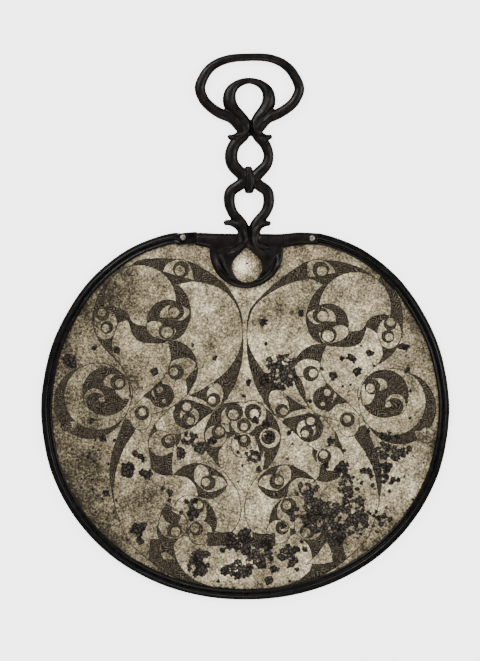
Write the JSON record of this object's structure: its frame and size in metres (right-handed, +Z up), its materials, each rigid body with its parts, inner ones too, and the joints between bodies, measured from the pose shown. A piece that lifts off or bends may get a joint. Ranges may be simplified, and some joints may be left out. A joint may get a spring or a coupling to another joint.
{
  "type": "ancient bronze hand mirror",
  "caption": "Kidney-shaped bronze hand mirror with scrolling engraved ornament on its back, a slotted rim binding and a cast looped handle; it lies flat on its polished side.",
  "frame": {"origin": "bottom centre of the whole mirror's box, on the surface it lies on", "axes": "+Y along the handle, away from the plate; +Z up through the engraved back"},
  "size_m": [0.2596, 0.3476, 0.0079],
  "materials": {
    "plate": "aged bronze sheet, golden grey, smoky stains, dark corrosion crusts, engraved lines and basket hatching",
    "rim": "near-black bronze, worn to a soft gloss, fine ridges along it",
    "handle": "near-black cast bronze, satin, a little warmer at the upper neck",
    "rivet": "pale worn bronze"
  },
  "bodies": {
    "root": {"mirror_plate": "plate", "rim_binding": "rim", "handle": "handle", "rivet_left": "rivet", "rivet_right": "rivet"}
  },
  "joints": []
}
